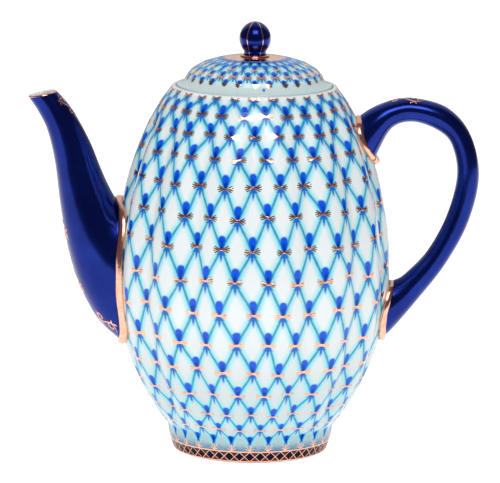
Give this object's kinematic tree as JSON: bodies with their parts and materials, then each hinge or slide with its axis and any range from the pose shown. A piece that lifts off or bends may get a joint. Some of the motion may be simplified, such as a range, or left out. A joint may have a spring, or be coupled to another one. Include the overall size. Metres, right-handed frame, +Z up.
{
  "type": "porcelain coffee pot",
  "caption": "Tall lobed porcelain pot with lift-off lid, ball knob, high curved spout and loop handle, painted with a blue and gilt net.",
  "frame": {"origin": "centre of the foot on the plane it stands on, on the body's axis", "axes": "+Z up along the body's axis, spout towards -X, handle towards +X, +Y to the back when the spout is on the left"},
  "size_m": [0.2149, 0.129, 0.2065],
  "materials": {
    "white_glaze": "glossy clear glaze over white porcelain, painted with a blue and gilt net",
    "cobalt_glaze": "glossy deep cobalt glaze",
    "gilding": "burnished gilding fired on porcelain"
  },
  "bodies": {
    "pot": {"body_shell": "white_glaze", "body_shoulder": "white_glaze", "foot_ring": "white_glaze", "rim_gallery": "white_glaze", "spout": "cobalt_glaze", "spout_collar": "gilding", "handle": "cobalt_glaze", "handle_upper_collar": "gilding", "handle_lower_collar": "gilding"},
    "lid": {"lid_dome": "white_glaze", "lid_crown": "gilding", "lid_flange": "white_glaze", "lid_lug": "white_glaze", "knob": "cobalt_glaze", "knob_ring": "gilding"}
  },
  "joints": [
    {"name": "lid_lift", "type": "slide", "parent": "pot", "child": "lid", "axis": [0, 0, 1], "range_m": [0, 0.06]}
  ]
}
